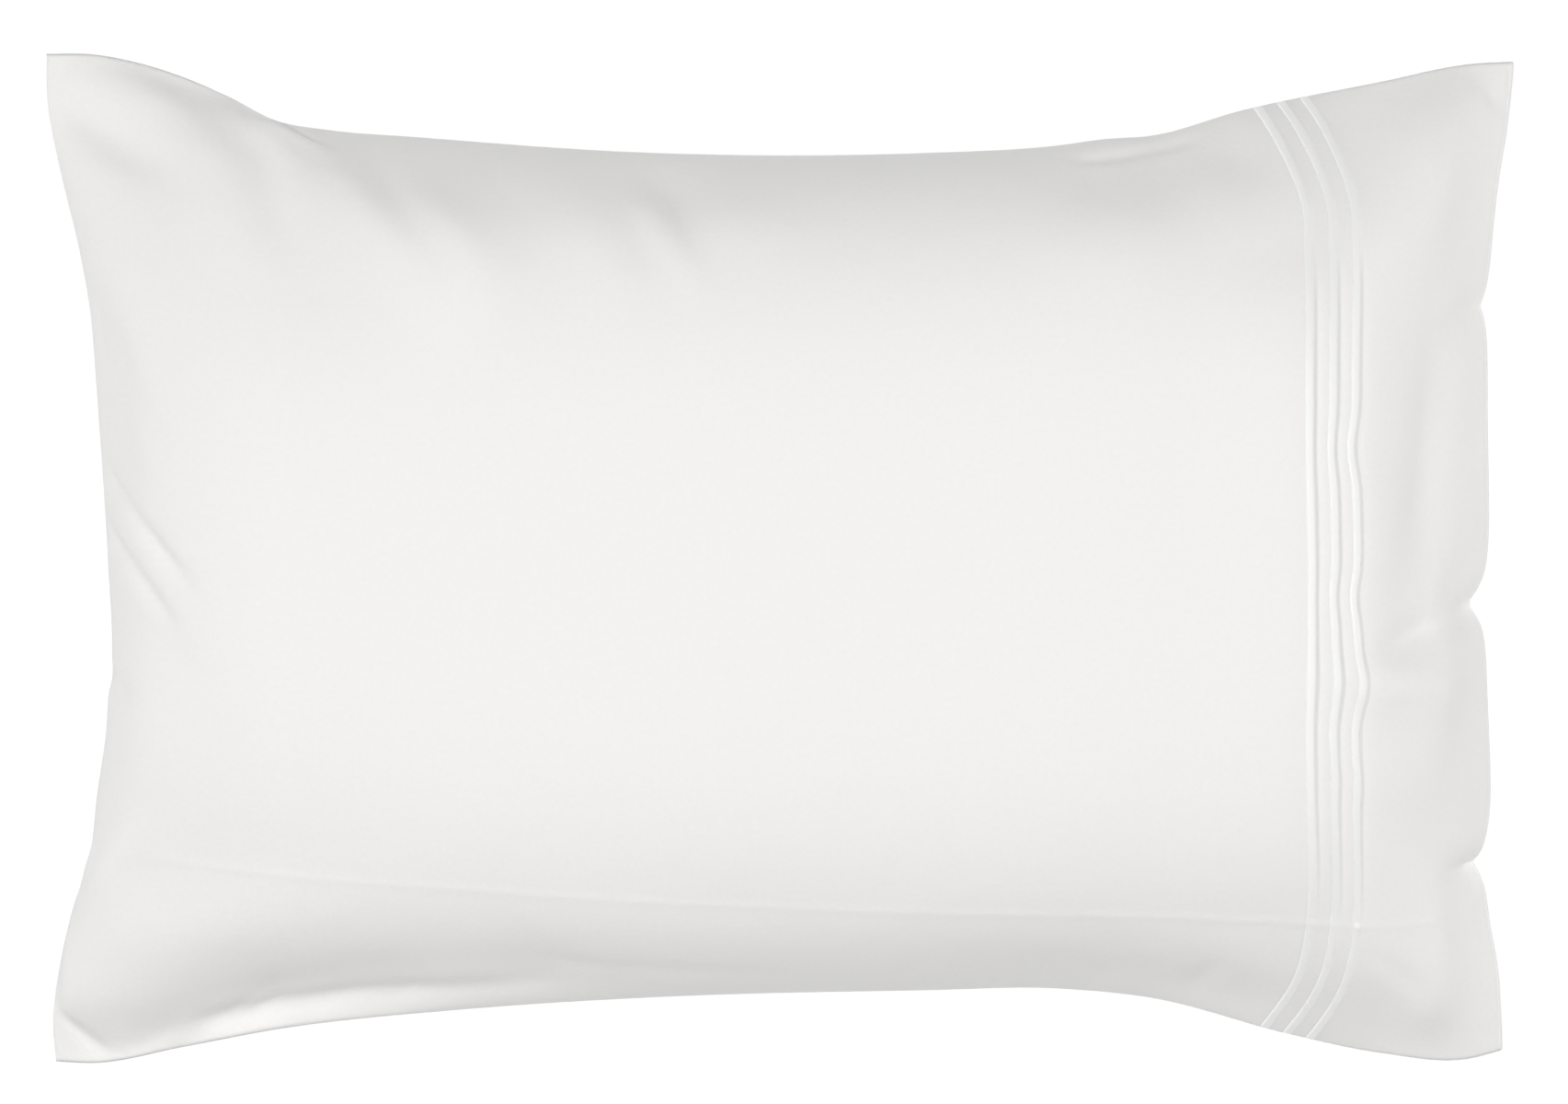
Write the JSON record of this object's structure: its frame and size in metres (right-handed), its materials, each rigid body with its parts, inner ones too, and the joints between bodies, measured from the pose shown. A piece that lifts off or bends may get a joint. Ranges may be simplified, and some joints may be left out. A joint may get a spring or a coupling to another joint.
{
  "type": "pillowcase",
  "caption": "Plain white pillowcase pulled over a plump filling, with drawn-in sides, soft pointed corners, an open cuffed mouth and fine sewn rows before the cuff.",
  "frame": {"origin": "on the floor that the back lies on, under the centre of the outline", "axes": "+X from the closed end to the open mouth, +Y from the lower side seam of the picture to the upper one, +Z out of the front"},
  "size_m": [0.7213, 0.4963, 0.1794],
  "materials": {
    "white_cotton": "smooth closely woven cotton, matt with a faint soft sheen",
    "white_thread": "glossy white sewing thread laid in close satin stitch"
  },
  "bodies": {
    "root": {"pillowcase": "white_cotton", "stitched_row_1": "white_thread", "stitched_row_2": "white_thread", "stitched_row_3": "white_thread"}
  },
  "joints": []
}
